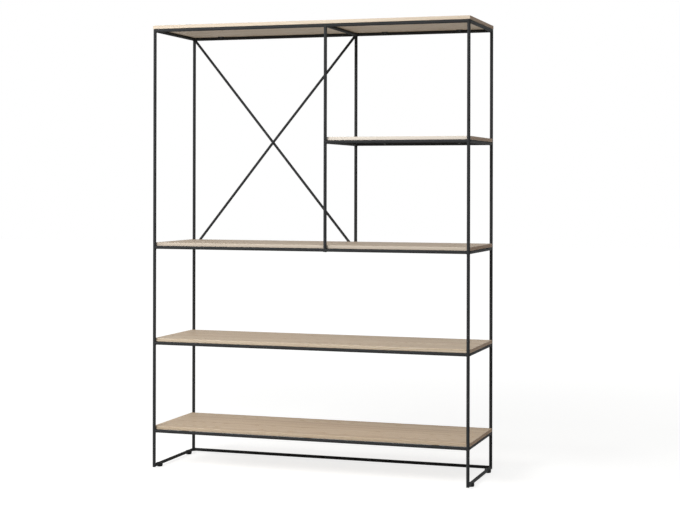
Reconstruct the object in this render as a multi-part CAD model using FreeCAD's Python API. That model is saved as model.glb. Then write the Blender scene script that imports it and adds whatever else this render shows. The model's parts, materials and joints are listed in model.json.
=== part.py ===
import FreeCAD, Part
import math
import os

from FreeCAD import Vector

# Shelving unit: a welded frame of round steel rods that carries five oak boards and stands on levelling glides.
# Millimetres, +Z up, +X to the right and +Y to the rear. The origin is on the floor under the frame's middle.

# Frame rods
rod_diameter = 12
brace_diameter = 10
frame_width = 1208  # left post axis to right post axis
frame_depth = 368  # front post axis to rear post axis
middle_post_offset = 676  # left post axis to middle post axis
weld_gap = 0.1  # between a coped end and the rod it is welded to
brace_gap = 0.1  # between the two braces where they cross
brace_bend_radius = 400  # of the bowed brace's axis where it passes the other
brace_setback = 13  # post axis to a brace's lower end, along the rod that it stands on

# Heights of the tops of the long rods under the boards, above the floor
bottom_level = 147
lower_level = 477
middle_level = 837
half_level = 1229
top_level = 1651

# Boards
board_thickness = 13
board_seat = 1  # down between the long rods, for every board but the top one
board_arris = 1.5  # radius on every edge
board_clearance = 0.5  # to the posts in front and behind

# Lugs welded to the front and rear rods
lug_width = 22
lug_reach = 16  # past the rod's inner side
lug_root = 2.5  # back over the rod
lug_thickness = 3
lug_end_distance = 120  # post axis to the nearest lug
lug_spacing = 500  # longest step from lug to lug

# Screws up through the lugs into the boards
screw_diameter = 3.5
screw_bite = 10  # length in the board
screw_clearance = 0.15  # all round
head_diameter = 7
head_height = 2.2
head_bevel = 0.6

# Saddles clipped round the base rods, and the levelling glides under them
saddle_diameter = 24
saddle_height = 11.5
saddle_floor = 2  # under the rod
saddle_edge = 1.5  # radius round the top
saddle_clearance = 0.1  # all round, to the rod
glide_diameter = 22
glide_height = 3
glide_edge = 1.2  # radius round the foot
glide_inset = 48  # post axis to glide axis
glide_gap = 0.3  # left under the saddle when the glide is screwed right in
stud_diameter = 6
stud_socket = 2  # depth moulded into the glide
stud_recess = 1  # stud end below the top of the base rod
stud_clearance = 0.2  # all round, in the base rod and the saddle
socket_clearance = 0.1  # all round, in the glide

overrun = 2  # past the face that a cut opens

# Places worked out from the sizes above
rod_radius = rod_diameter / 2
left_x = -frame_width / 2
right_x = frame_width / 2
middle_x = left_x + middle_post_offset
front_y = -frame_depth / 2
rear_y = frame_depth / 2
saddle_bottom = glide_height + glide_gap
base_bottom = saddle_bottom + saddle_floor
base_level = base_bottom + rod_diameter
lug_centre = rod_radius + lug_reach / 2

UP = Vector(0, 0, 1)
FACES = {"front": front_y, "rear": rear_y}
SIDES = {"left": left_x, "middle": middle_x, "right": right_x}

# Each board's name, the tops of its long rods and of its cross rods, on which it lies, the posts that the long rods
# stop at, and the places of the cross rods
SHELVES = (
    ("top", top_level, top_level, ("left", "right"), ("left", "middle", "right")),
    ("half", half_level, half_level - board_seat, ("middle", "right"), ("middle", "right")),
    ("middle", middle_level, middle_level - board_seat, ("left", "middle", "right"), ("left", "middle", "right")),
    ("lower", lower_level, lower_level - board_seat, ("left", "right"), ("left", "right")),
    ("bottom", bottom_level, bottom_level - board_seat, ("left", "right"), ("left", "right")),
)

pieces = {}


def rod(axis, diameter=rod_diameter):
    """A round rod along an axis, which is a pair of points."""
    start, end = axis
    run = end.sub(start)
    return Part.makeCylinder(diameter / 2, run.Length, start, run)


def coped(piece, axes):
    """The piece with its ends shaped to sit round the rods on the given axes."""
    for axis in axes:
        piece = piece.cut(rod(axis, rod_diameter + 2 * weld_gap))
    return piece


def post_axis(side, face):
    """Corner posts run from the base to the top board, middle posts from the middle rods to the top rods."""
    low, high = base_bottom, top_level
    if side == "middle":
        low, high = middle_level - board_seat - rod_diameter, top_level - rod_radius
    return Vector(SIDES[side], FACES[face], low), Vector(SIDES[side], FACES[face], high)


def long_axis(face, start_side, end_side, level):
    """A rod that runs from left to right, with its top at the level."""
    height = level - rod_radius
    return Vector(SIDES[start_side], FACES[face], height), Vector(SIDES[end_side], FACES[face], height)


def cross_axis(side, level):
    """A rod that runs from front to rear, with its top at the level."""
    height = level - rod_radius
    return Vector(SIDES[side], front_y, height), Vector(SIDES[side], rear_y, height)


def make_posts():
    for face in FACES:
        for side in SIDES:
            post = rod(post_axis(side, face))
            if side == "middle":
                post = coped(post, [long_axis(face, "left", "right", top_level)])
            pieces[f"post_{face}_{side}"] = post


def make_rails(name, level, seat, stops, crossings):
    """The long rods of one board, stopped at their posts, and the cross rods between them."""
    bays = list(zip(stops, stops[1:]))
    for face in FACES:
        for start, end in bays:
            rail = coped(rod(long_axis(face, start, end, level)), [post_axis(start, face), post_axis(end, face)])
            suffix = "" if len(bays) == 1 else "_left" if end == "middle" else "_right"
            pieces[f"{name}_rail_{face}{suffix}"] = rail
    for side in crossings:
        neighbours = [post_axis(side, face) for face in FACES]
        neighbours += [long_axis(face, stops[0], stops[-1], level) for face in FACES]
        pieces[f"{name}_rail_{side}"] = coped(rod(cross_axis(side, seat)), neighbours)


def make_base():
    """A rear rod and two side rods, which are drilled for the glides' studs."""
    rear_axis = long_axis("rear", "left", "right", base_level)
    rear_posts = [post_axis("left", "rear"), post_axis("right", "rear")]
    pieces["base_rail_rear"] = coped(rod(rear_axis), rear_posts)
    for side in ("left", "right"):
        neighbours = [post_axis(side, face) for face in FACES] + [rear_axis]
        rail = coped(rod(cross_axis(side, base_level)), neighbours)
        for y in (front_y + glide_inset, rear_y - glide_inset):
            bottom = Vector(SIDES[side], y, base_bottom - overrun)
            top = Vector(SIDES[side], y, base_level + overrun)
            rail = rail.cut(rod((bottom, top), stud_diameter + 2 * stud_clearance))
        pieces[f"base_rail_{side}"] = rail


def make_braces():
    """Two thin rods from corner to corner of the tall bay's rear: one straight, one bent to pass in front of it."""
    high = top_level - rod_radius
    low = middle_level - rod_radius
    neighbours = [long_axis("rear", "left", "right", top_level), long_axis("rear", "left", "middle", middle_level)]
    neighbours += [post_axis("left", "rear"), post_axis("middle", "rear")]
    neighbours += [cross_axis("left", top_level), cross_axis("middle", top_level)]

    straight = rod((Vector(left_x, rear_y, high), Vector(middle_x - brace_setback, rear_y, low)), brace_diameter)
    pieces["brace_straight"] = coped(straight, neighbours)

    start = Vector(left_x + brace_setback, rear_y, low)
    end = Vector(middle_x, rear_y, high)
    run = end.sub(start)
    forward = Vector(0, -1, 0)
    bow = brace_diameter + brace_gap
    below = run.Length * (middle_post_offset / 2 - brace_setback) / run.x
    crest = start + run * (below / run.Length) + forward * bow
    # A straight leg on each side is tangent to the bend, which turns by its own angle from the crest
    hollow = brace_bend_radius - bow
    ends = []
    for reach in (-below, run.Length - below):
        turn = math.atan2(abs(reach), hollow) - math.acos(brace_bend_radius / math.hypot(reach, hollow))
        along = run / run.Length * math.copysign(brace_bend_radius * math.sin(turn), reach)
        ends.append(crest + along + forward * brace_bend_radius * (math.cos(turn) - 1))
    bend = Part.Arc(ends[0], crest, ends[1])
    legs = Part.LineSegment(start, bend.StartPoint), Part.LineSegment(bend.EndPoint, end)
    path = Part.Wire([legs[0].toShape(), bend.toShape(), legs[1].toShape()])
    section = Part.Circle(start, bend.StartPoint - start, brace_diameter / 2)
    bowed = path.makePipeShell([Part.Wire(section.toShape())], True, False)
    pieces["brace_bowed"] = coped(bowed, neighbours)


def lug_places(seat, crossings):
    """The middle of each lug's top face, with the way in from its rod: 1 to the rear, -1 to the front."""
    for start, end in zip(crossings, crossings[1:]):
        first = SIDES[start] + lug_end_distance
        last = SIDES[end] - lug_end_distance
        steps = math.ceil((last - first) / lug_spacing)
        for step in range(steps + 1):
            x = first + (last - first) * step / steps
            yield Vector(x, front_y + lug_centre, seat), 1
            yield Vector(x, rear_y - lug_centre, seat), -1


def make_lug(place, inward):
    """A flat tab under the board, with a hole for one screw."""
    length = lug_root + lug_reach
    outer_y = place.y - inward * (lug_reach / 2 + lug_root)
    corner = Vector(place.x - lug_width / 2, min(outer_y, outer_y + inward * length), place.z - lug_thickness)
    tab = Part.makeBox(lug_width, length, lug_thickness, corner)
    above = place + UP * overrun
    below = place - UP * (lug_thickness + overrun)
    return tab.cut(rod((below, above), screw_diameter + 2 * screw_clearance))


def make_screw(place):
    """A pan-head screw, head up against the lug's underside and point in the board."""
    under = -lug_thickness
    profile = [
        Vector(0, 0, under - head_height),
        Vector(head_diameter / 2 - head_bevel, 0, under - head_height),
        Vector(head_diameter / 2, 0, under - head_height + head_bevel),
        Vector(head_diameter / 2, 0, under),
        Vector(screw_diameter / 2, 0, under),
        Vector(screw_diameter / 2, 0, screw_bite),
        Vector(0, 0, screw_bite),
    ]
    half = Part.Face(Part.makePolygon(profile + profile[:1]))
    return half.revolve(Vector(), UP, 360).translated(place)


def make_fixings(name, level, seat, stops, crossings):
    """The lugs under one board, shaped to their rods, and the screws through them."""
    rods = [long_axis(face, stops[0], stops[-1], level) for face in FACES]
    places = list(lug_places(seat, crossings))
    lugs = [coped(make_lug(place, inward), rods).Solids[0] for place, inward in places]
    pieces[f"{name}_lugs"] = Part.makeCompound(lugs)
    pieces[f"{name}_screws"] = Part.makeCompound([make_screw(place) for place, inward in places])


def make_board(name, seat, crossings):
    """A board as wide as the frame's outside, drilled from below. The top one also covers the posts."""
    edge = rod_radius if name == "top" else -rod_radius - board_clearance
    width = SIDES[crossings[-1]] - SIDES[crossings[0]] + rod_diameter
    depth = frame_depth + 2 * edge
    corner = Vector(SIDES[crossings[0]] - rod_radius, front_y - edge, seat)
    board = Part.makeBox(width, depth, board_thickness, corner)
    board = board.makeFillet(board_arris, board.Edges)
    for place, inward in lug_places(seat, crossings):
        hole = (place - UP * overrun, place + UP * screw_bite)
        board = board.cut(rod(hole, screw_diameter + 2 * screw_clearance))
    pieces[f"{name}_board"] = board


def make_glide(place):
    """A moulded disc with a rounded foot and a socket for its stud, standing on the place."""
    radius = glide_diameter / 2
    disc = Part.makeCylinder(radius, glide_height, place)
    foot = [edge for edge in disc.Edges if edge.BoundBox.ZMax < place.z + glide_edge]
    disc = disc.makeFillet(glide_edge, foot)
    bottom = place + UP * (glide_height - stud_socket)
    top = place + UP * (glide_height + overrun)
    return disc.cut(rod((bottom, top), stud_diameter + 2 * socket_clearance))


def make_saddle(place):
    """A moulded cup that grips a base rod from below, with a hole for the stud."""
    cup = Part.makeCylinder(saddle_diameter / 2, saddle_height, place + UP * saddle_bottom)
    rim = [edge for edge in cup.Edges if edge.BoundBox.ZMin > place.z + saddle_bottom + saddle_height - saddle_edge]
    cup = cup.makeFillet(saddle_edge, rim)
    side = "left" if place.x < 0 else "right"
    cup = cup.cut(rod(cross_axis(side, base_level), rod_diameter + 2 * saddle_clearance))
    return cup.cut(rod((place, place + UP * base_level), stud_diameter + 2 * stud_clearance))


def make_feet():
    saddles = []
    for side in ("left", "right"):
        for face, inward in (("front", 1), ("rear", -1)):
            place = Vector(SIDES[side], FACES[face] + inward * glide_inset, 0)
            bottom = place + UP * (glide_height - stud_socket)
            top = place + UP * (base_level - stud_recess)
            saddles.append(make_saddle(place))
            pieces[f"glide_{face}_{side}"] = make_glide(place)
            pieces[f"stud_{face}_{side}"] = rod((bottom, top), stud_diameter)
    pieces["glide_saddles"] = Part.makeCompound([saddle.Solids[0] for saddle in saddles])


make_posts()
for name, level, seat, stops, crossings in SHELVES:
    make_rails(name, level, seat, stops, crossings)
    make_fixings(name, level, seat, stops, crossings)
    make_board(name, seat, crossings)
make_base()
make_braces()
make_feet()

os.makedirs("parts", exist_ok=True)
for name, piece in pieces.items():
    piece.exportStep(f"parts/{name}.step")
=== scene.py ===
import json
import math

import bpy
from mathutils import Matrix, Vector

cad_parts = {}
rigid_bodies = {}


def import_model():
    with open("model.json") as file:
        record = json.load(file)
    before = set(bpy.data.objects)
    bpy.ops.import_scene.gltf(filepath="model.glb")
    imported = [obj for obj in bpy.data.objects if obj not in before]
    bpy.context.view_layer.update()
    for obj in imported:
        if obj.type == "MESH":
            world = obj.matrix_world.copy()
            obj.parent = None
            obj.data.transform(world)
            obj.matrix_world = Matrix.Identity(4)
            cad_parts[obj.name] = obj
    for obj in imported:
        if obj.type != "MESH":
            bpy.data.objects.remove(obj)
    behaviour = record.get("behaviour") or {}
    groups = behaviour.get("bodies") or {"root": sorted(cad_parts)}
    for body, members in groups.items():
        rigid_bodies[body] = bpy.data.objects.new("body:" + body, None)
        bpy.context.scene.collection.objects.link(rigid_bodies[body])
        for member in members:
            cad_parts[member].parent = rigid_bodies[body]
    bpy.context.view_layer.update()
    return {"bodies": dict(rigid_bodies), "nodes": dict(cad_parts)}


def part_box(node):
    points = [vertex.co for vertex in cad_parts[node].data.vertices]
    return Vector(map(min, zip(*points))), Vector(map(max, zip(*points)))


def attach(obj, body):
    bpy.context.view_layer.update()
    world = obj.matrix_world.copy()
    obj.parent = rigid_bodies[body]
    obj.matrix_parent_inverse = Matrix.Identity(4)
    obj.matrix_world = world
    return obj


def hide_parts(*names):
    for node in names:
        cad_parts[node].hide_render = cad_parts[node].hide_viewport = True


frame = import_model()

# Looks of the rod shelving unit: powder-coated steel rods, oak-veneered boards, black plated screws and
# studs, and nylon saddles and glides. Everything is in metres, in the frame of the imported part.

MM = 0.001
scene = bpy.context.scene

# Painted light and painted shade that can lie over a board's own wood: the white and pale tones are painted
# light, the brown and grey ones painted shade
HIGHLIGHT_WHITE, LIGHT_PALE, SHADE_BROWN, SHADE_GREY = "#fff8ee", "#efe5d7", "#b98a4e", "#8c7b6c"
# Each board, with its painted tone and that tone's share over all its wood and then over its long edges:
# paler and whiter as painted light on the top board, the half board and the long edges of the half and middle
# boards, greyer over the middle board and browner over the bottom board as painted shade
BOARDS = {
    "top_board": ((LIGHT_PALE, 0.2), (LIGHT_PALE, 0.1)),
    "half_board": ((LIGHT_PALE, 0.2), (HIGHLIGHT_WHITE, 0.62)),
    "middle_board": ((SHADE_GREY, 0.35), (LIGHT_PALE, 0.45)),
    "lower_board": ((LIGHT_PALE, 0.0), (LIGHT_PALE, 0.0)),
    "bottom_board": ((SHADE_BROWN, 0.14), (LIGHT_PALE, 0.0)),
}
GRAIN_STEP = 3.7  # how far the grain moves on from one board to the next

# Welds
BEAD = 1.1 * MM  # radius of a full bead
LEAST_BEAD_SHARE = 0.1
LUG_BEAD_SHARE = 0.8
SEAM_STEPS = 40  # points round a rod's end
SEAM_BACK = 40 * MM  # how far up the rod the search for the seam starts
SINK_SHARE = 1.4  # of the bead's radius, where two surfaces run into each other
BRACE_SETBACK = 13 * MM  # post axis to a brace's lower end, along the rod that it stands on

# Clear lengths that part one lug, or one screw, of a board from the next
LUG_GAP = 60 * MM
SCREW_GAP = 5 * MM

# Studio
FLOOR_REACH = 20
FLOOR_NEAR, FLOOR_FAR = 1.2, 5.0  # from the unit's middle
GLOW_NEAR, GLOW_FAR = 0.77, 0.92  # white that is made up there
AMBIENT = 0.2
LAMP_TARGET = Vector((0, 0, 0.9))
# Each softbox, with its place, its width and height, and its watts
SOFTBOXES = (
    ("softbox_side", (-4.2, -1.7, 2.3), (1.2, 1.6), 40),
    ("softbox_front", (-1.5, -2.95, 2.3), (1.5, 1.2), 71),
    ("softbox_overhead", (1.3, -3.4, 3.6), (3.6, 2.4), 52),
)

# Camera, fitted to the photograph in pixels
PICTURE_WIDTH, PICTURE_HEIGHT = 680, 510
FOCAL_PIXELS = 1525.0
HORIZON_ROW = 183.58
CAMERA_PLACE = (1.8438, -5.4156, 1.0720)
CAMERA_YAW, CAMERA_ROLL = math.radians(18.150), math.radians(0.13)
SENSOR_WIDTH = 36  # millimetres


def node(tree, kind, settings={}, inputs={}):
    """Adds a node with its settings. An input is a value, an output to link, or a list of outputs to link.

    Sockets that share a name go by number: a Mix node has its share at input 0, floats at 2 and 3, vectors at
    4 and 5 and colours at 6 and 7, and gives a float, a vector and a colour at outputs 0, 1 and 2."""
    made = tree.nodes.new(kind)
    for name, value in settings.items():
        setattr(made, name, value)
    for name, value in inputs.items():
        sources = value if isinstance(value, list) else [value]
        for source in sources:
            if isinstance(source, bpy.types.NodeSocket):
                tree.links.new(source, made.inputs[name])
            else:
                made.inputs[name].default_value = source
    return made


def paint(code):
    """An sRGB hex colour as linear red, green, blue and alpha."""
    shares = [int(code[i:i + 2], 16) / 255 for i in (1, 3, 5)]
    return tuple(s / 12.92 if s <= 0.04045 else ((s + 0.055) / 1.055) ** 2.4 for s in shares) + (1,)


def per(size):
    """How often a pattern repeats in a metre, from its real size in millimetres."""
    return 1 / (size * MM)


def blank(name, **sockets):
    """A material with one Principled shader, whose even values are set on its own sockets."""
    made = bpy.data.materials.new(name)
    made.use_nodes = True
    tree = made.node_tree
    tree.nodes.clear()
    even = {socket.replace("_", " "): value for socket, value in sockets.items()}
    surface = node(tree, "ShaderNodeBsdfPrincipled", {}, even)
    node(tree, "ShaderNodeOutputMaterial", {}, {"Surface": surface.outputs["BSDF"]})
    return made, tree, surface


def powder_coat():
    """Mild steel with a baked dark polyester powder: low satin and near black, with the faint orange peel
    of melted powder that breaks up the edge of a highlight."""
    made, tree, surface = blank("steel_powder_coated_black", IOR=1.47, Specular_IOR_Level=0.07)
    place = node(tree, "ShaderNodeTexCoord").outputs["Object"]
    # The real peel is about 0.6 mm across, drawn at 1.4 mm so that it shows on a close view
    peel = node(tree, "ShaderNodeTexNoise", {}, {"Vector": place, "Scale": per(1.4), "Detail": 2.0})
    cloud = node(tree, "ShaderNodeTexNoise", {}, {"Vector": place, "Scale": per(90), "Detail": 3.0})
    tone = node(tree, "ShaderNodeMix", {"data_type": "RGBA"}, {
        0: cloud.outputs["Fac"], 6: paint("#323334"), 7: paint("#3c3d3e")})
    rough = node(tree, "ShaderNodeMapRange", {}, {
        "Value": peel.outputs["Fac"], "From Min": 0.3, "From Max": 0.7, "To Min": 0.6, "To Max": 0.66})
    skin = node(tree, "ShaderNodeBump", {}, {
        "Height": peel.outputs["Fac"], "Strength": 0.08, "Distance": 0.06 * MM})
    tree.links.new(tone.outputs[2], surface.inputs["Base Color"])
    tree.links.new(rough.outputs["Result"], surface.inputs["Roughness"])
    tree.links.new(skin.outputs["Normal"], surface.inputs["Normal"])
    return made


def growth_rings(tree, grain, shift):
    """The rings of a log, cut into leaves of veneer that lie side by side, each from another part of the
    log."""
    leaf_width = 125 * MM
    leaf_start_share = 0.35
    leaf_drift = 40 * MM  # how far a leaf may lie from the middle of its log
    wander_length = 900  # in millimetres, over which the knife comes nearer to the heart of the log
    wander_depth = 110 * MM
    along_share = 0.06  # a step along the log counts for this share of a step across it
    ring_spacing = 5  # in millimetres
    wave_rate = 20  # the Wave node draws this many rings in a length of tau

    lie = node(tree, "ShaderNodeSeparateXYZ", {}, {0: grain})
    leaf = node(tree, "ShaderNodeMath", {"operation": "MULTIPLY_ADD"}, {
        0: lie.outputs["Y"], 1: 1 / leaf_width, 2: leaf_start_share})
    leaf = node(tree, "ShaderNodeMath", {"operation": "ROUND"}, {0: leaf.outputs[0]})
    seed = node(tree, "ShaderNodeMath", {"operation": "ADD"}, {0: leaf.outputs[0], 1: shift})
    chance = node(tree, "ShaderNodeTexWhiteNoise", {"noise_dimensions": "1D"}, {"W": seed.outputs[0]})
    across = node(tree, "ShaderNodeMath", {"operation": "MULTIPLY_ADD"}, {
        0: leaf.outputs[0], 1: -leaf_width, 2: lie.outputs["Y"]})
    across = node(tree, "ShaderNodeMath", {"operation": "MULTIPLY_ADD"}, {
        0: chance.outputs["Value"], 1: leaf_drift, 2: across.outputs[0]})

    # The knife's wandering draws the arches
    wander = node(tree, "ShaderNodeMath", {"operation": "MULTIPLY_ADD"}, {
        0: lie.outputs["X"], 1: per(wander_length), 2: seed.outputs[0]})
    wander = node(tree, "ShaderNodeTexNoise", {"noise_dimensions": "1D"}, {
        "W": wander.outputs[0], "Scale": 1.0, "Detail": 1.0})
    depth = node(tree, "ShaderNodeMath", {"operation": "MULTIPLY_ADD"}, {
        0: wander.outputs["Fac"], 1: wander_depth, 2: lie.outputs["Z"]})
    slow = node(tree, "ShaderNodeMath", {"operation": "MULTIPLY"}, {0: lie.outputs["X"], 1: along_share})
    log = node(tree, "ShaderNodeCombineXYZ", {}, {
        "X": slow.outputs[0], "Y": across.outputs[0], "Z": depth.outputs[0]})
    rings = node(tree, "ShaderNodeTexWave", {
        "wave_type": "RINGS", "rings_direction": "X", "wave_profile": "SAW"}, {
        "Vector": log.outputs[0], "Scale": per(ring_spacing) * math.tau / wave_rate, "Distortion": 5.0,
        "Detail": 3.0, "Detail Scale": 0.5, "Detail Roughness": 0.55})
    return rings.outputs["Fac"]


def oak_veneer(board, shift, wood_painted_light, edge_painted_light):
    """Plain-sliced oak veneer, sanded and matt-lacquered: long growth rings that arch in the middle of each
    leaf, short dark pores along them, broad browner streaks, and bands on the ends whose grain runs from
    front to rear. Over these lies each board's own painted light or painted shade, over all its wood and
    over its long edges."""
    low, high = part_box(board)
    made, tree, surface = blank("oak_veneer_lacquered_" + board, IOR=1.48, Specular_IOR_Level=0.2)
    place = node(tree, "ShaderNodeTexCoord")
    middle = node(tree, "ShaderNodeMapping", {}, {
        "Vector": place.outputs["Object"], "Location": -(low + high) / 2})
    facing = node(tree, "ShaderNodeVectorMath", {"operation": "ABSOLUTE"}, {0: place.outputs["Normal"]})
    facing = node(tree, "ShaderNodeSeparateXYZ", {}, {0: facing.outputs[0]})
    mostly = 0.7  # the part of a normal from which a face counts as looking that way
    is_end = node(tree, "ShaderNodeMath", {"operation": "GREATER_THAN"}, {0: facing.outputs["X"], 1: mostly})
    is_long = node(tree, "ShaderNodeMath", {"operation": "GREATER_THAN"}, {0: facing.outputs["Y"], 1: mostly})

    # Grain along X, turned on the two ends
    lie = node(tree, "ShaderNodeSeparateXYZ", {}, {0: middle.outputs[0]})
    turned = node(tree, "ShaderNodeCombineXYZ", {}, {
        "X": lie.outputs["Y"], "Y": lie.outputs["X"], "Z": lie.outputs["Z"]})
    grain = node(tree, "ShaderNodeMix", {"data_type": "VECTOR"}, {
        0: is_end.outputs[0], 4: middle.outputs[0], 5: turned.outputs[0]}).outputs[1]

    rings = growth_rings(tree, grain, shift)
    ring_tone = node(tree, "ShaderNodeValToRGB", {}, {"Fac": rings})
    stops = ring_tone.color_ramp.elements
    stops[0].position, stops[0].color = 0.0, paint("#ceb492")
    stops[1].position, stops[1].color = 1.0, paint("#e0ceb6")
    stops.new(0.22).color = paint("#dac5a7")
    stops.new(0.6).color = paint("#e3d2bb")

    # Each layer's length, width and depth in millimetres, its detail, where it sets in and is full, and its
    # share there
    layers, shares = {}, {}
    for name, size, detail, sets_in, full, share in (
            ("streak", (1400, 22, 22), 4.0, 0.44, 0.7, 0.6),
            ("fibre", (60, 1, 1), 2.0, 0.35, 0.7, 0.3),
            ("pore", (14, 0.5, 0.5), 1.0, 0.58, 0.66, 0.75)):
        spread = node(tree, "ShaderNodeMapping", {}, {
            "Vector": grain, "Location": (shift, shift, 0), "Scale": tuple(per(side) for side in size)})
        layers[name] = node(tree, "ShaderNodeTexNoise", {}, {
            "Vector": spread.outputs[0], "Scale": 1.0, "Detail": detail}).outputs["Fac"]
        shares[name] = node(tree, "ShaderNodeMapRange", {}, {
            "Value": layers[name], "From Min": sets_in, "From Max": full,
            "To Min": 0.0, "To Max": share}).outputs[0]

    # Pores crowd in the early wood of each ring
    early = node(tree, "ShaderNodeMapRange", {}, {
        "Value": rings, "From Min": 0.0, "From Max": 0.7, "To Min": 1.0, "To Max": 0.15})
    pores = node(tree, "ShaderNodeMath", {"operation": "MULTIPLY"}, {0: shares["pore"], 1: early.outputs[0]})

    # The rounded arrises, where a face looks no one way, are rubbed a little paler and smoother
    flat = node(tree, "ShaderNodeMath", {"operation": "MAXIMUM"}, {
        0: facing.outputs["X"], 1: facing.outputs["Y"]})
    flat = node(tree, "ShaderNodeMath", {"operation": "MAXIMUM"}, {
        0: flat.outputs[0], 1: facing.outputs["Z"]})
    rubbed = node(tree, "ShaderNodeMapRange", {}, {
        "Value": flat.outputs[0], "From Min": 0.8, "From Max": 0.98,
        "To Min": 0.35, "To Max": 0.0}).outputs[0]

    # Each colour lies over those before it. The end bands are browner on every board, partly their own tone
    # and partly painted shade
    wood_light_code, wood_light_share = wood_painted_light
    edge_light_code, edge_light_share = edge_painted_light
    end_tone_and_shade_share = 0.58
    # The board's painted light or painted shade goes over all its wood, and in another share over its long
    # edges
    edges = node(tree, "ShaderNodeMath", {"operation": "MULTIPLY"}, {0: is_long.outputs[0], 1: edge_light_share})
    ends = node(tree, "ShaderNodeMath", {"operation": "MULTIPLY"}, {0: is_end.outputs[0], 1: end_tone_and_shade_share})
    tone = ring_tone.outputs[0]
    for share, code in (
            (shares["streak"], "#b8997a"),
            (shares["fibre"], "#e4d6c3"),
            (pores.outputs[0], "#866c52"),
            (wood_light_share, wood_light_code),
            (edges.outputs[0], edge_light_code),
            (ends.outputs[0], "#94683f"),
            (rubbed, "#e6d9c8")):
        tone = node(tree, "ShaderNodeMix", {"data_type": "RGBA"}, {
            0: share, 6: tone, 7: paint(code)}).outputs[2]

    # The lacquer is rougher over the fibres and smoother where it is rubbed
    least_rough, fibre_rough, rubbed_smooth = 0.48, 0.16, 0.2
    rough = node(tree, "ShaderNodeMath", {"operation": "MULTIPLY_ADD"}, {
        0: layers["fibre"], 1: fibre_rough, 2: least_rough})
    rough = node(tree, "ShaderNodeMath", {"operation": "MULTIPLY_ADD"}, {
        0: rubbed, 1: -rubbed_smooth, 2: rough.outputs[0]})
    # Pores are open, and fibres stand proud by a share of a pore's depth
    fibre_rise = 0.25
    height = node(tree, "ShaderNodeMath", {"operation": "MULTIPLY"}, {0: layers["fibre"], 1: fibre_rise})
    height = node(tree, "ShaderNodeMath", {"operation": "SUBTRACT"}, {
        0: height.outputs[0], 1: pores.outputs[0]})
    skin = node(tree, "ShaderNodeBump", {}, {
        "Height": height.outputs[0], "Strength": 0.35, "Distance": 0.12 * MM})
    tree.links.new(tone, surface.inputs["Base Color"])
    tree.links.new(rough.outputs[0], surface.inputs["Roughness"])
    tree.links.new(skin.outputs["Normal"], surface.inputs["Normal"])
    return made


def black_zinc():
    """Steel plated with zinc and dipped black: dark metal, a little cloudy, with a cold and an olive tint in
    patches."""
    made, tree, surface = blank("steel_black_zinc_plated", Metallic=1.0)
    place = node(tree, "ShaderNodeTexCoord").outputs["Object"]
    patch = node(tree, "ShaderNodeTexNoise", {}, {"Vector": place, "Scale": per(2.5), "Detail": 3.0})
    tone = node(tree, "ShaderNodeMix", {"data_type": "RGBA"}, {
        0: patch.outputs["Fac"], 6: paint("#54585d"), 7: paint("#5d5b51")})
    rough = node(tree, "ShaderNodeMapRange", {}, {
        "Value": patch.outputs["Fac"], "To Min": 0.24, "To Max": 0.46})
    tree.links.new(tone.outputs[2], surface.inputs["Base Color"])
    tree.links.new(rough.outputs["Result"], surface.inputs["Roughness"])
    return made


def moulded_nylon():
    """Black nylon from a spark-eroded mould: matt and finely pebbled, scuffed grey where it meets the
    floor."""
    made, tree, surface = blank("nylon_moulded_black", IOR=1.53, Specular_IOR_Level=0.2)
    place = node(tree, "ShaderNodeTexCoord").outputs["Object"]
    pebble = node(tree, "ShaderNodeTexNoise", {}, {"Vector": place, "Scale": per(0.5), "Detail": 2.0})
    height = node(tree, "ShaderNodeSeparateXYZ", {}, {0: place})
    low = node(tree, "ShaderNodeMapRange", {}, {
        "Value": height.outputs["Z"], "From Min": 0.2 * MM, "From Max": 1.4 * MM,
        "To Min": 1.0, "To Max": 0.0})
    scuff = node(tree, "ShaderNodeMath", {"operation": "MULTIPLY"}, {
        0: low.outputs[0], 1: pebble.outputs["Fac"]})
    tone = node(tree, "ShaderNodeMix", {"data_type": "RGBA"}, {
        0: scuff.outputs[0], 6: paint("#0f1011"), 7: paint("#353637")})
    rough = node(tree, "ShaderNodeMapRange", {}, {
        "Value": pebble.outputs["Fac"], "To Min": 0.45, "To Max": 0.65})
    skin = node(tree, "ShaderNodeBump", {}, {
        "Height": pebble.outputs["Fac"], "Strength": 0.3, "Distance": 0.05 * MM})
    tree.links.new(tone.outputs[2], surface.inputs["Base Color"])
    tree.links.new(rough.outputs["Result"], surface.inputs["Roughness"])
    tree.links.new(skin.outputs["Normal"], surface.inputs["Normal"])
    return made


def size_tree(name, sizes):
    """A Geometry Nodes tree that takes a mesh of seams or places, named sizes and a finish."""
    tree = bpy.data.node_groups.new(name, "GeometryNodeTree")
    tree.interface.new_socket("Geometry", in_out="INPUT", socket_type="NodeSocketGeometry")
    for size in sizes:
        tree.interface.new_socket(size, in_out="INPUT", socket_type="NodeSocketFloat")
    tree.interface.new_socket("Finish", in_out="INPUT", socket_type="NodeSocketMaterial")
    tree.interface.new_socket("Geometry", in_out="OUTPUT", socket_type="NodeSocketGeometry")
    given = node(tree, "NodeGroupInput").outputs
    return tree, given


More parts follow.
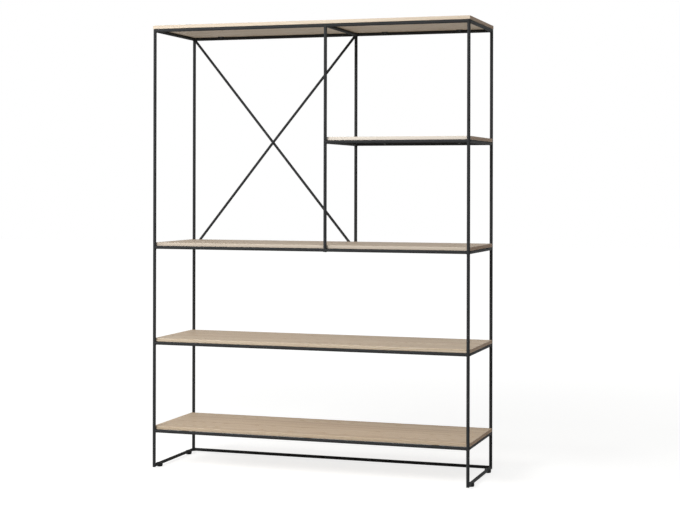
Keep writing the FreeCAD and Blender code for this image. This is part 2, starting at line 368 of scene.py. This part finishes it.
def end_tree(tree, shape, given):
    """The close of each tree: smooth faces with sharp corners, real geometry and the finish."""
    corner_angle = math.radians(35)
    smooth = node(tree, "GeometryNodeSetShadeSmooth", {"domain": "FACE"}, {"Geometry": shape})
    angle = node(tree, "GeometryNodeInputMeshEdgeAngle")
    corner = node(tree, "FunctionNodeCompare", {"operation": "GREATER_THAN"}, {
        0: angle.outputs["Unsigned Angle"], 1: corner_angle})
    sharp = node(tree, "GeometryNodeSetShadeSmooth", {"domain": "EDGE"}, {
        "Geometry": smooth.outputs[0], "Selection": corner.outputs[0], "Shade Smooth": False})
    real = node(tree, "GeometryNodeRealizeInstances", {}, {"Geometry": sharp.outputs[0]})
    finished = node(tree, "GeometryNodeSetMaterial", {}, {
        "Geometry": real.outputs[0], "Material": given["Finish"]})
    node(tree, "NodeGroupOutput", {}, {"Geometry": finished.outputs[0]})
    return tree


def weld_tree():
    """A bead along each seam, as thick as the seam's own width allows, with the ripple of the weld pool under
    the coat."""
    tree, given = size_tree("weld_bead", ("Bead Radius", "Ripple Length", "Ripple Share", "Seed"))
    seams = node(tree, "GeometryNodeMeshToCurve", {}, {"Mesh": given["Geometry"]})
    width = node(tree, "GeometryNodeInputNamedAttribute", {"data_type": "FLOAT"}, {"Name": "seam_width"})
    place = node(tree, "GeometryNodeInputPosition")
    often = node(tree, "ShaderNodeMath", {"operation": "DIVIDE"}, {0: 1.0, 1: given["Ripple Length"]})
    ripple = node(tree, "ShaderNodeTexNoise", {"noise_dimensions": "4D"}, {
        "Vector": place.outputs[0], "W": given["Seed"], "Scale": often.outputs[0], "Detail": 1.0})
    swell = node(tree, "ShaderNodeMath", {"operation": "MULTIPLY_ADD"}, {
        0: ripple.outputs["Fac"], 1: given["Ripple Share"], 2: 1.0})
    radius = node(tree, "ShaderNodeMath", {"operation": "MULTIPLY"}, {
        0: width.outputs[0], 1: given["Bead Radius"]})
    radius = node(tree, "ShaderNodeMath", {"operation": "MULTIPLY"}, {
        0: radius.outputs[0], 1: swell.outputs[0]})
    ring = node(tree, "GeometryNodeCurvePrimitiveCircle", {}, {"Resolution": 10, "Radius": 1.0})
    bead = node(tree, "GeometryNodeCurveToMesh", {}, {
        "Curve": seams.outputs[0], "Profile Curve": ring.outputs[0], "Scale": radius.outputs[0],
        "Fill Caps": True})
    return end_tree(tree, bead.outputs[0], given)


def thread(tree, given):
    """A core with a helical ridge round it, from the place's origin up."""
    turns = node(tree, "ShaderNodeMath", {"operation": "DIVIDE"}, {0: given["Length"], 1: given["Pitch"]})
    helix = node(tree, "GeometryNodeCurveSpiral", {}, {
        "Resolution": 24, "Rotations": turns.outputs[0], "Start Radius": given["Core Radius"],
        "End Radius": given["Core Radius"], "Height": given["Length"]})
    flank = node(tree, "GeometryNodeCurvePrimitiveCircle", {}, {
        "Resolution": 4, "Radius": given["Thread Depth"]})
    ridge = node(tree, "GeometryNodeCurveToMesh", {}, {
        "Curve": helix.outputs[0], "Profile Curve": flank.outputs[0], "Fill Caps": True})
    core = node(tree, "GeometryNodeMeshCylinder", {}, {
        "Vertices": 24, "Radius": given["Core Radius"], "Depth": given["Length"]})
    half = node(tree, "ShaderNodeMath", {"operation": "MULTIPLY"}, {0: given["Length"], 1: 0.5})
    half = node(tree, "ShaderNodeCombineXYZ", {}, {"Z": half.outputs[0]})
    core = node(tree, "GeometryNodeTransform", {}, {
        "Geometry": core.outputs["Mesh"], "Translation": half.outputs[0]})
    both = node(tree, "GeometryNodeJoinGeometry", {}, {"Geometry": [ridge.outputs[0], core.outputs[0]]})
    return both.outputs[0]


def stud_tree():
    """A threaded stud on each place."""
    tree, given = size_tree("threaded_stud", ("Core Radius", "Thread Depth", "Pitch", "Length"))
    stud = thread(tree, given)
    studs = node(tree, "GeometryNodeInstanceOnPoints", {}, {"Points": given["Geometry"], "Instance": stud})
    return end_tree(tree, studs.outputs[0], given)


def pan_head(tree, given):
    """A disc domed below, with a cross recess in the dome, from the place's origin down."""
    down = node(tree, "ShaderNodeMath", {"operation": "MULTIPLY"}, {0: given["Head Height"], 1: -0.5})
    middle = node(tree, "ShaderNodeCombineXYZ", {}, {"Z": down.outputs[0]})
    disc = node(tree, "GeometryNodeMeshCylinder", {}, {
        "Vertices": 32, "Radius": given["Head Radius"], "Depth": given["Head Height"]})
    disc = node(tree, "GeometryNodeTransform", {}, {
        "Geometry": disc.outputs["Mesh"], "Translation": middle.outputs[0]})
    rise = node(tree, "ShaderNodeMath", {"operation": "SUBTRACT"}, {
        0: given["Dome Radius"], 1: given["Head Height"]})
    rise = node(tree, "ShaderNodeCombineXYZ", {}, {"Z": rise.outputs[0]})
    dome = node(tree, "GeometryNodeMeshUVSphere", {}, {
        "Segments": 32, "Rings": 40, "Radius": given["Dome Radius"]})
    dome = node(tree, "GeometryNodeTransform", {}, {
        "Geometry": dome.outputs["Mesh"], "Translation": rise.outputs[0]})
    head = node(tree, "GeometryNodeMeshBoolean", {"operation": "INTERSECT", "solver": "EXACT"}, {
        "Mesh 2": [disc.outputs[0], dome.outputs[0]]})

    # Each slot is a bar twice as deep as the recess, with its middle on the crown
    deep = node(tree, "ShaderNodeMath", {"operation": "MULTIPLY"}, {0: given["Recess Depth"], 1: 2.0})
    crown = node(tree, "ShaderNodeMath", {"operation": "MULTIPLY"}, {0: given["Head Height"], 1: -1.0})
    crown = node(tree, "ShaderNodeCombineXYZ", {}, {"Z": crown.outputs[0]})
    slots = []
    for long_way, short_way in (("X", "Y"), ("Y", "X")):
        size = node(tree, "ShaderNodeCombineXYZ", {}, {
            long_way: given["Recess Length"], short_way: given["Recess Width"], "Z": deep.outputs[0]})
        slot = node(tree, "GeometryNodeMeshCube", {}, {"Size": size.outputs[0]})
        slot = node(tree, "GeometryNodeTransform", {}, {
            "Geometry": slot.outputs["Mesh"], "Translation": crown.outputs[0]})
        slots.append(slot.outputs[0])
    head = node(tree, "GeometryNodeMeshBoolean", {"operation": "DIFFERENCE", "solver": "EXACT"}, {
        "Mesh 1": head.outputs[0], "Mesh 2": slots})
    # The cuts leave slivers, which are merged away
    head = node(tree, "GeometryNodeMergeByDistance", {}, {"Geometry": head.outputs[0], "Distance": 0.01 * MM})
    return head.outputs[0]


def screw_tree():
    """A wood screw on each place, with its shank above it and its pan head below."""
    tree, given = size_tree("pan_head_screw", (
        "Core Radius", "Thread Depth", "Pitch", "Length", "Head Radius", "Head Height", "Dome Radius",
        "Recess Length", "Recess Width", "Recess Depth"))
    shank = thread(tree, given)
    head = pan_head(tree, given)
    screw = node(tree, "GeometryNodeJoinGeometry", {}, {"Geometry": [shank, head]})
    screws = node(tree, "GeometryNodeInstanceOnPoints", {}, {
        "Points": given["Geometry"], "Instance": screw.outputs[0]})
    return end_tree(tree, screws.outputs[0], given)


def grow(name, mesh, tree, sizes, finish, body):
    """Runs a tree on a mesh of seams or places, keeps the result as a plain mesh and gives it to a body."""
    piece = bpy.data.objects.new(name, mesh)
    scene.collection.objects.link(piece)
    nodes = piece.modifiers.new(tree.name, "NODES")
    nodes.node_group = tree
    values = {**sizes, "Finish": finish}
    for socket in tree.interface.items_tree:
        if socket.in_out == "INPUT" and socket.name in values:
            nodes[socket.identifier] = values[socket.name]
    bpy.context.view_layer.update()
    grown = bpy.data.meshes.new_from_object(piece.evaluated_get(bpy.context.evaluated_depsgraph_get()))
    piece.modifiers.remove(nodes)
    piece.data = grown
    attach(piece, body)
    return piece


def rod_ends(name):
    """The two ends of a rod's axis, its unit direction and its radius, from its box."""
    low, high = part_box(name)
    size = high - low
    way = max(range(3), key=lambda i: size[i])
    start, end = (low + high) / 2, (low + high) / 2
    start[way], end[way] = low[way], high[way]
    return start, end, (end - start).normalized(), min(size) / 2


def brace_ends(name):
    """The same for a brace, which runs from the corner of a post and the top rod down to the rod under the
    other post."""
    axis = {part: sum(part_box(part), Vector()) / 2 for part in (
        "post_rear_left", "post_rear_middle", "top_rail_rear", "middle_rail_rear_left")}
    near, far = ("left", "middle") if name == "brace_straight" else ("middle", "left")
    near, far = axis["post_rear_" + near], axis["post_rear_" + far]
    setback = math.copysign(BRACE_SETBACK, near.x - far.x)
    start = Vector((near.x, near.y, axis["top_rail_rear"].z))
    end = Vector((far.x + setback, near.y, axis["middle_rail_rear_left"].z))
    low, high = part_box("brace_straight")
    return start, end, (end - start).normalized(), (high.y - low.y) / 2


def meets(point, way, rod):
    """How far along a direction a point's line first meets a rod, and the rod's normal there."""
    start, _, along, radius = rod
    offset = point - start
    offset -= along * offset.dot(along)
    ray = way - along * way.dot(along)
    square = ray.length_squared
    nearly_zero = 1e-9
    if square < nearly_zero:
        return None
    half = offset.dot(ray) / square
    inside = max(0.0, half * half - (offset.length_squared - radius * radius) / square)
    reach = -half - math.sqrt(inside)
    return reach, (offset + ray * reach).normalized()


def seam(rod, at_end, others):
    """The closed line where a rod's end meets other rods, with the width that a bead has room for at each
    point."""
    start, end, along, radius = rod
    way = along if at_end else -along
    tip = end if at_end else start
    back = tip - way * SEAM_BACK
    upright, level = abs(way.z) > 0.9, abs(way.z) < 0.1
    side = way.orthogonal().normalized() if upright else way.cross(Vector((0, 0, 1))).normalized()
    top = side.cross(way)
    line = []
    for step in range(SEAM_STEPS):
        turn = math.tau * (step + 0.5) / SEAM_STEPS
        out = side * math.cos(turn) + top * math.sin(turn)
        point = back + out * radius
        hits = [hit for hit in (meets(point, way, other) for other in others) if hit]
        reach, normal = min(hits, key=lambda hit: hit[0])
        corner = out.cross(normal).length
        place = point + way * reach
        # A bead stays below the top of a level rod, where a board lies
        room = (tip.z + radius - place.z) / BEAD if level else 1.0
        width = max(LEAST_BEAD_SHARE, min(corner, room))
        # Where the two surfaces run into each other the bead sinks into them
        sink = BEAD * width * SINK_SHARE * (1 - corner)
        line.append((place - (out + normal).normalized() * sink, width))
    return line


def clusters(name, gap):
    """The boxes of the separate solids of one CAD node, which lie in two rows along X, more than a gap
    apart."""
    boxes = []
    for sign in (-1, 1):
        row = (v.co for v in frame["nodes"][name].data.vertices if v.co.y * sign > 0)
        points = sorted(row, key=lambda point: point.x)
        group = []
        for point, after in zip(points, points[1:] + [None]):
            group.append(point)
            if after is None or after.x - point.x > gap:
                boxes.append(tuple(Vector(f(p[i] for p in group) for i in range(3)) for f in (min, max)))
                group = []
    return boxes


def line_mesh(name, lines):
    """A mesh of edges from closed or open lines of points, each point with its seam width."""
    mesh = bpy.data.meshes.new(name)
    points, edges, widths = [], [], []
    for closed, line in lines:
        first = len(points)
        points += [point for point, width in line]
        widths += [width for point, width in line]
        edges += [(first + i, first + i + 1) for i in range(len(line) - 1)]
        edges += [(first + len(line) - 1, first)] if closed else []
    mesh.from_pydata(points, edges, [])
    mesh.attributes.new("seam_width", "FLOAT", "POINT").data.foreach_set("value", widths)
    return mesh


def passing(point, rods):
    """The rods whose own length passes within their radius of a point."""
    found = []
    for start, end, along, radius in rods.values():
        reach = min(max((point - start).dot(along), 0), (end - start).length)
        if (start + along * reach - point).length < radius:
            found.append((start, end, along, radius))
    return found


def rod_seams():
    """The closed seams round the ends of the rods that are welded to others."""
    rods = {name: rod_ends(name) for name in frame["nodes"] if "_rail_" in name or name.startswith("post_")}
    braces = {name: brace_ends(name) for name in ("brace_straight", "brace_bowed")}
    # The rods along X, along Y and along Z
    long, cross, posts = (
        {name: rod for name, rod in rods.items() if abs(rod[2][way]) > 0.9} for way in range(3))
    lines = []
    for group, stops in (
            (long, posts), (cross, {**posts, **long}), (posts, long), (braces, {**posts, **long})):
        for name, rod in group.items():
            for at_end in (False, True):
                # Of the posts only the middle ones end under a rod, at their tops
                if group is posts and not (at_end and name.endswith("_middle")):
                    continue
                others = passing(rod[1] if at_end else rod[0], stops)
                if others:
                    lines.append((True, seam(rod, at_end, others)))
    return lines


def lug_seams():
    """The open seams along the roots of the lugs, where their undersides meet the long rods."""
    lines = []
    for board in BOARDS:
        # The middle board's front rod is in two lengths
        length = "_left" if board == "middle_board" else ""
        rod_low, rod_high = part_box(board.replace("_board", "_rail_front" + length))
        axis = (rod_low + rod_high) / 2
        radius = (rod_high.z - rod_low.z) / 2
        for low, high in clusters(board.replace("_board", "_lugs"), LUG_GAP):
            inward = 1 if low.y < 0 else -1
            run = math.sqrt(radius ** 2 - (axis.z - low.z) ** 2)
            y = axis.y * inward + inward * run
            shares = (0, 0.25, 0.5, 0.75, 1)
            points = [Vector((low.x + (high.x - low.x) * share, y, low.z)) for share in shares]
            lines.append((False, [(point, LUG_BEAD_SHARE) for point in points]))
    return lines


def make_welds(finish):
    """Beads where the rods meet and along the roots of the lugs."""
    mesh = line_mesh("weld_seams", rod_seams() + lug_seams())
    sizes = {"Bead Radius": BEAD, "Ripple Length": 2.2 * MM, "Ripple Share": 0.35, "Seed": 7.0}
    grow("weld_beads", mesh, weld_tree(), sizes, finish, "frame")


def make_screws(finish):
    """Pan-head screws up through the lugs, one piece for each board."""
    tree = screw_tree()
    sizes = {
        "Core Radius": 1.25 * MM, "Thread Depth": 0.5 * MM, "Pitch": 1.6 * MM,
        "Head Radius": 3.5 * MM, "Head Height": 2.2 * MM, "Dome Radius": 6.6 * MM,
        "Recess Length": 3.8 * MM, "Recess Width": 0.9 * MM, "Recess Depth": 1.3 * MM}
    head = sizes["Head Height"]
    for board in BOARDS:
        name = board.replace("_board", "_screws")
        boxes = clusters(name, SCREW_GAP)
        places = bpy.data.meshes.new(name + "_places")
        places.from_pydata([((a.x + b.x) / 2, (a.y + b.y) / 2, a.z + head) for a, b in boxes], [], [])
        sizes["Length"] = boxes[0][1].z - boxes[0][0].z - head
        dressed = name.replace("screws", "pan_head_screws")
        piece = grow(dressed, places, tree, sizes, finish, "frame")
        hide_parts(name)


def make_studs(finish):
    """Threaded studs between the glides and the base rods, one for each foot."""
    tree = stud_tree()
    sizes = {"Core Radius": 2.5 * MM, "Thread Depth": 0.5 * MM, "Pitch": 1.0 * MM}
    for body in frame["bodies"]:
        if body.startswith("foot_"):
            name = body.replace("foot_", "stud_")
            low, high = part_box(name)
            place = bpy.data.meshes.new(name + "_place")
            place.from_pydata([((low.x + high.x) / 2, (low.y + high.y) / 2, low.z)], [], [])
            sizes["Length"] = high.z - low.z
            piece = grow(name + "_threaded", place, tree, sizes, finish, body)
            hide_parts(name)


def seen_directly(tree, otherwise, seen):
    """One strength for rays from the camera, reflections and glass, and another for the light that falls on
    things."""
    path = node(tree, "ShaderNodeLightPath").outputs
    either = node(tree, "ShaderNodeMath", {"operation": "MAXIMUM"}, {
        0: path["Is Camera Ray"], 1: path["Is Glossy Ray"]})
    either = node(tree, "ShaderNodeMath", {"operation": "MAXIMUM"}, {
        0: either.outputs[0], 1: path["Is Transmission Ray"]})
    level = node(tree, "ShaderNodeMix", {"data_type": "FLOAT"}, {
        0: either.outputs[0], 2: otherwise, 3: seen})
    return level.outputs[0]


def make_floor():
    """A pale floor that keeps the shadows and is white where the camera, a reflection or glass sees it."""
    mesh = bpy.data.meshes.new("studio_floor")
    corners = [(x * FLOOR_REACH, y * FLOOR_REACH, 0) for x, y in ((-1, -1), (1, -1), (1, 1), (-1, 1))]
    mesh.from_pydata(corners, [], [(0, 1, 2, 3)])
    floor = bpy.data.objects.new("studio_floor", mesh)
    scene.collection.objects.link(floor)
    made = bpy.data.materials.new("studio_paper_white")
    made.use_nodes = True
    tree = made.node_tree
    tree.nodes.clear()
    paper = node(tree, "ShaderNodeBsdfDiffuse", {}, {"Color": paint("#c2c2c0")})
    # Less light falls on the paper further away, so more of its white is made up there
    place = node(tree, "ShaderNodeTexCoord")
    away = node(tree, "ShaderNodeVectorMath", {"operation": "LENGTH"}, {0: place.outputs["Object"]})
    white = node(tree, "ShaderNodeMapRange", {"interpolation_type": "SMOOTHSTEP"}, {
        "Value": away.outputs["Value"], "From Min": FLOOR_NEAR, "From Max": FLOOR_FAR,
        "To Min": GLOW_NEAR, "To Max": GLOW_FAR})
    glow = node(tree, "ShaderNodeEmission", {}, {
        "Color": paint("#ffffff"), "Strength": seen_directly(tree, 0.0, white.outputs[0])})
    both = node(tree, "ShaderNodeAddShader", {}, {0: paper.outputs[0], 1: glow.outputs[0]})
    # From below the paper is clear, so that the underside can be looked at
    below = node(tree, "ShaderNodeNewGeometry")
    clear = node(tree, "ShaderNodeBsdfTransparent")
    sided = node(tree, "ShaderNodeMixShader", {}, {
        0: below.outputs["Backfacing"], 1: both.outputs[0], 2: clear.outputs[0]})
    node(tree, "ShaderNodeOutputMaterial", {}, {"Surface": sided.outputs[0]})
    mesh.materials.append(made)


def make_light():
    """A white studio with a softbox far to the left, one in front to the left and a wide one overhead."""
    world = bpy.data.worlds.new("studio")
    scene.world = world
    world.use_nodes = True
    tree = world.node_tree
    tree.nodes.clear()
    sky = node(tree, "ShaderNodeBackground", {}, {
        "Color": paint("#ffffff"), "Strength": seen_directly(tree, AMBIENT, 1.0)})
    node(tree, "ShaderNodeOutputWorld", {}, {"Surface": sky.outputs[0]})

    for name, place, size, watts in SOFTBOXES:
        lamp = bpy.data.lights.new(name, "AREA")
        lamp.shape = "RECTANGLE"
        lamp.size, lamp.size_y = size
        lamp.energy = watts
        softbox = bpy.data.objects.new(name, lamp)
        softbox.location = place
        softbox.rotation_euler = (LAMP_TARGET - softbox.location).to_track_quat("-Z", "Y").to_euler()
        scene.collection.objects.link(softbox)


def make_camera():
    """The photograph's view: level, 18 degrees to the right of the front, with the picture shifted down so
    that it holds the feet."""
    ahead = Vector((-math.sin(CAMERA_YAW), math.cos(CAMERA_YAW), 0))
    right = Vector((math.cos(CAMERA_YAW), math.sin(CAMERA_YAW), 0))
    up = Vector((0, 0, 1))
    cos_roll, sin_roll = math.cos(CAMERA_ROLL), math.sin(CAMERA_ROLL)
    right, up = right * cos_roll + up * sin_roll, up * cos_roll - right * sin_roll
    lens = bpy.data.cameras.new("camera")
    lens.sensor_width = SENSOR_WIDTH
    lens.lens = FOCAL_PIXELS / PICTURE_WIDTH * SENSOR_WIDTH
    lens.shift_y = -(PICTURE_HEIGHT / 2 - HORIZON_ROW) / PICTURE_WIDTH
    camera = bpy.data.objects.new("camera", lens)
    camera.matrix_world = Matrix((right, up, -ahead)).transposed().to_4x4()
    camera.location = CAMERA_PLACE
    scene.collection.objects.link(camera)
    scene.camera = camera


coat, zinc, nylon = powder_coat(), black_zinc(), moulded_nylon()
for name, part in frame["nodes"].items():
    if name in BOARDS:
        shift = GRAIN_STEP * (list(BOARDS).index(name) + 1)
        # Each board's row gives its painted light or painted shade
        finish = oak_veneer(name, shift, *BOARDS[name])
    elif name.startswith("glide_"):
        finish = nylon
    elif name.startswith("stud_") or name.endswith("_screws"):
        finish = zinc
    else:
        finish = coat
    part.material_slots[0].material = finish

make_welds(coat)
make_screws(zinc)
make_studs(zinc)
make_floor()
make_light()
make_camera()
scene.view_settings.view_transform = "Standard"
